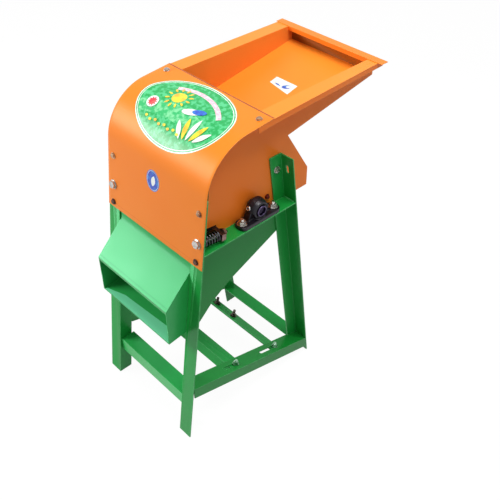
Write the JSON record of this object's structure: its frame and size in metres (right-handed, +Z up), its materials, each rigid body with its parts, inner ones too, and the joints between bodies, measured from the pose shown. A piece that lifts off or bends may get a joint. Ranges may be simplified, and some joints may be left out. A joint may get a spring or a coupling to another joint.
{
  "type": "corn sheller",
  "caption": "Electric corn sheller: angle iron frame, sheet casing with feed tray over a toothed drum, kernel chute, sprung pressure plate and slotted motor bed.",
  "frame": {"origin": "middle of the bottom of the whole object's box, on the floor between the feet", "axes": "+Z up, -Y towards the kernel chute at the front, +X towards the machine's right, away from the pulley"},
  "size_m": [0.384, 0.6542, 0.8195],
  "materials": {
    "orange_paint": "gloss",
    "green_paint": "gloss",
    "black_cast": "gloss paint",
    "grey_cast": "machined",
    "plain_steel": "rolled",
    "zinc": "zinc plated",
    "dark_steel": "oiled"
  },
  "bodies": {
    "frame": {"front_leg_right": "green_paint", "front_leg_left": "green_paint", "rear_leg_right": "green_paint", "rear_leg_left": "green_paint", "upper_rail_right": "green_paint", "upper_rail_left": "green_paint", "lower_side_rail_right": "green_paint", "lower_side_rail_left": "green_paint", "lower_cross_rail_front": "green_paint", "lower_cross_rail_rear": "green_paint", "upper_cross_rail_front": "green_paint", "upper_cross_rail_rear": "green_paint", "hood": "orange_paint", "side_panel_right": "orange_paint", "side_panel_left": "orange_paint", "feed_tray": "orange_paint", "outlet_cover": "orange_paint", "outlet_floor": "orange_paint", "funnel_side_right": "green_paint", "funnel_side_left": "green_paint", "funnel_floor": "green_paint", "kernel_chute": "green_paint", "bearing_housing_right": "black_cast", "bearing_housing_left": "black_cast", "bearing_bolt_right_front": "zinc", "bearing_bolt_right_rear": "zinc", "bearing_bolt_left_front": "zinc", "bearing_bolt_left_rear": "zinc", "concave_screen": "plain_steel", "adjusting_bolt_right": "zinc", "adjusting_nut_right": "dark_steel", "adjusting_spring_right": "dark_steel", "adjusting_bolt_left": "zinc", "adjusting_nut_left": "dark_steel", "adjusting_spring_left": "dark_steel", "hood_screw_low_right": "zinc", "hood_screw_high_right": "zinc", "hood_screw_roof_right": "zinc", "rear_leg_bolt_right": "zinc", "screen_bolt_right": "zinc", "hood_screw_low_left": "zinc", "hood_screw_high_left": "zinc", "hood_screw_roof_left": "zinc", "rear_leg_bolt_left": "zinc", "screen_bolt_left": "zinc"},
    "drum": {"drum": "dark_steel", "drum_shaft": "plain_steel", "driven_pulley": "grey_cast", "bearing_inner_ring_right": "plain_steel", "bearing_inner_ring_left": "plain_steel"},
    "pressure_plate": {"pressure_plate": "dark_steel"},
    "motor_bar_front": {"motor_bar_front": "green_paint", "bar_clamp_bolt_front_right": "zinc", "bar_clamp_bolt_front_left": "zinc"},
    "motor_bar_rear": {"motor_bar_rear": "green_paint", "bar_clamp_bolt_rear_right": "zinc", "bar_clamp_bolt_rear_left": "zinc", "motor_foot_bolt_inner": "dark_steel", "motor_foot_bolt_outer": "dark_steel"}
  },
  "joints": [
    {"name": "drum_spin", "type": "hinge", "parent": "frame", "child": "drum", "pos_m": [0.022, -0.06889, 0.592], "axis": [1, 0, 0], "continuous": true},
    {"name": "pressure_plate_slide", "type": "slide", "parent": "frame", "child": "pressure_plate", "axis": [0, -0.9909, 0.1349], "range_m": [0, 0.012], "stiffness_N_per_m": 37000, "springref_m": -0.002, "deforming": ["adjusting_spring_right", "adjusting_spring_left"]},
    {"name": "motor_bar_front_slide", "type": "slide", "parent": "frame", "child": "motor_bar_front", "axis": [0, -0.9606, 0.278], "range_m": [0, 0.038]},
    {"name": "motor_bar_rear_slide", "type": "slide", "parent": "frame", "child": "motor_bar_rear", "axis": [0, -0.9606, 0.278], "range_m": [0, 0.052]}
  ]
}
